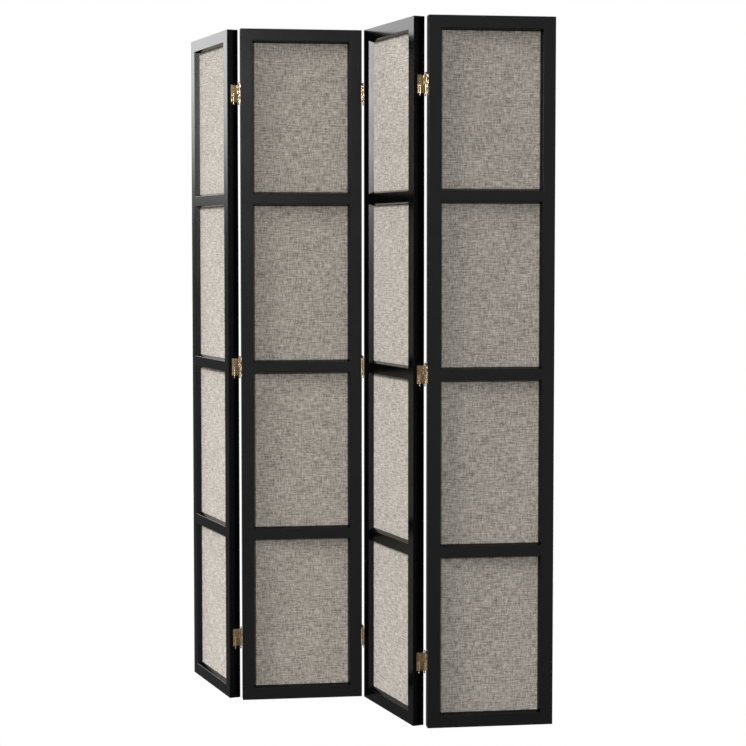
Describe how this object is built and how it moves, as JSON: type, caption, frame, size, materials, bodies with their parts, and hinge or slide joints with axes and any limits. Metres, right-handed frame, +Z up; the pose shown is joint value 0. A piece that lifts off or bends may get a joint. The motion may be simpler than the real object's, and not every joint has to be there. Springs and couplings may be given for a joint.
{
  "type": "partition wall",
  "caption": "Free-standing folding screen of hinged panels in a zigzag: black lacquered wood frames with linen infill, joined by double-action brass hinges.",
  "frame": {"origin": "on the floor, at the middle of the zigzag's box", "axes": "+Z up; +X along the row of panels, from the first to the last; -Y towards the side that the outer folds point to, taken as the front"},
  "size_m": [1.123, 0.2188, 1.8],
  "materials": {
    "black_lacquer": "satin black lacquer",
    "infill_board": "matte black",
    "linen": "slubby plain-woven natural linen",
    "brass": "lightly brushed",
    "brass_screw": "satin"
  },
  "bodies": {
    "panel_1": {"panel_1_left_stile": "black_lacquer", "panel_1_right_stile": "black_lacquer", "panel_1_top_rail": "black_lacquer", "panel_1_upper_rail": "black_lacquer", "panel_1_middle_rail": "black_lacquer", "panel_1_lower_rail": "black_lacquer", "panel_1_bottom_rail": "black_lacquer", "panel_1_boards": "infill_board", "panel_1_front_linen": "linen", "panel_1_back_linen": "linen", "panel_1_beads": "black_lacquer", "panel_1_hinge_leaves": "brass", "panel_1_hinge_links": "brass", "panel_1_hinge_pins": "brass", "panel_1_hinge_screws": "brass_screw"},
    "panel_2": {"panel_2_left_stile": "black_lacquer", "panel_2_right_stile": "black_lacquer", "panel_2_top_rail": "black_lacquer", "panel_2_upper_rail": "black_lacquer", "panel_2_middle_rail": "black_lacquer", "panel_2_lower_rail": "black_lacquer", "panel_2_bottom_rail": "black_lacquer", "panel_2_boards": "infill_board", "panel_2_front_linen": "linen", "panel_2_back_linen": "linen", "panel_2_beads": "black_lacquer", "panel_2_hinge_leaves": "brass", "panel_2_hinge_links": "brass", "panel_2_hinge_pins": "brass", "panel_2_hinge_screws": "brass_screw"},
    "panel_3": {"panel_3_left_stile": "black_lacquer", "panel_3_right_stile": "black_lacquer", "panel_3_top_rail": "black_lacquer", "panel_3_upper_rail": "black_lacquer", "panel_3_middle_rail": "black_lacquer", "panel_3_lower_rail": "black_lacquer", "panel_3_bottom_rail": "black_lacquer", "panel_3_boards": "infill_board", "panel_3_front_linen": "linen", "panel_3_back_linen": "linen", "panel_3_beads": "black_lacquer", "panel_3_hinge_leaves": "brass", "panel_3_hinge_links": "brass", "panel_3_hinge_pins": "brass", "panel_3_hinge_screws": "brass_screw"},
    "panel_4": {"panel_4_left_stile": "black_lacquer", "panel_4_right_stile": "black_lacquer", "panel_4_top_rail": "black_lacquer", "panel_4_upper_rail": "black_lacquer", "panel_4_middle_rail": "black_lacquer", "panel_4_lower_rail": "black_lacquer", "panel_4_bottom_rail": "black_lacquer", "panel_4_boards": "infill_board", "panel_4_front_linen": "linen", "panel_4_back_linen": "linen", "panel_4_beads": "black_lacquer", "panel_4_hinge_leaves": "brass", "panel_4_hinge_links": "brass", "panel_4_hinge_pins": "brass", "panel_4_hinge_screws": "brass_screw"}
  },
  "joints": [
    {"name": "fold_1_2", "type": "hinge", "parent": "panel_2", "child": "panel_1", "pos_m": [-0.28251, -0.08695, 0.9], "axis": [0, 0, -1], "range_deg": [-74.3, 105.7]},
    {"name": "fold_2_3", "type": "hinge", "parent": "panel_2", "child": "panel_3", "pos_m": [0, 0.08695, 0.9], "axis": [0, 0, -1], "range_deg": [-74.3, 105.7]},
    {"name": "fold_3_4", "type": "hinge", "parent": "panel_3", "child": "panel_4", "pos_m": [0.28251, -0.08695, 0.9], "axis": [0, 0, 1], "range_deg": [-74.3, 105.7]}
  ]
}
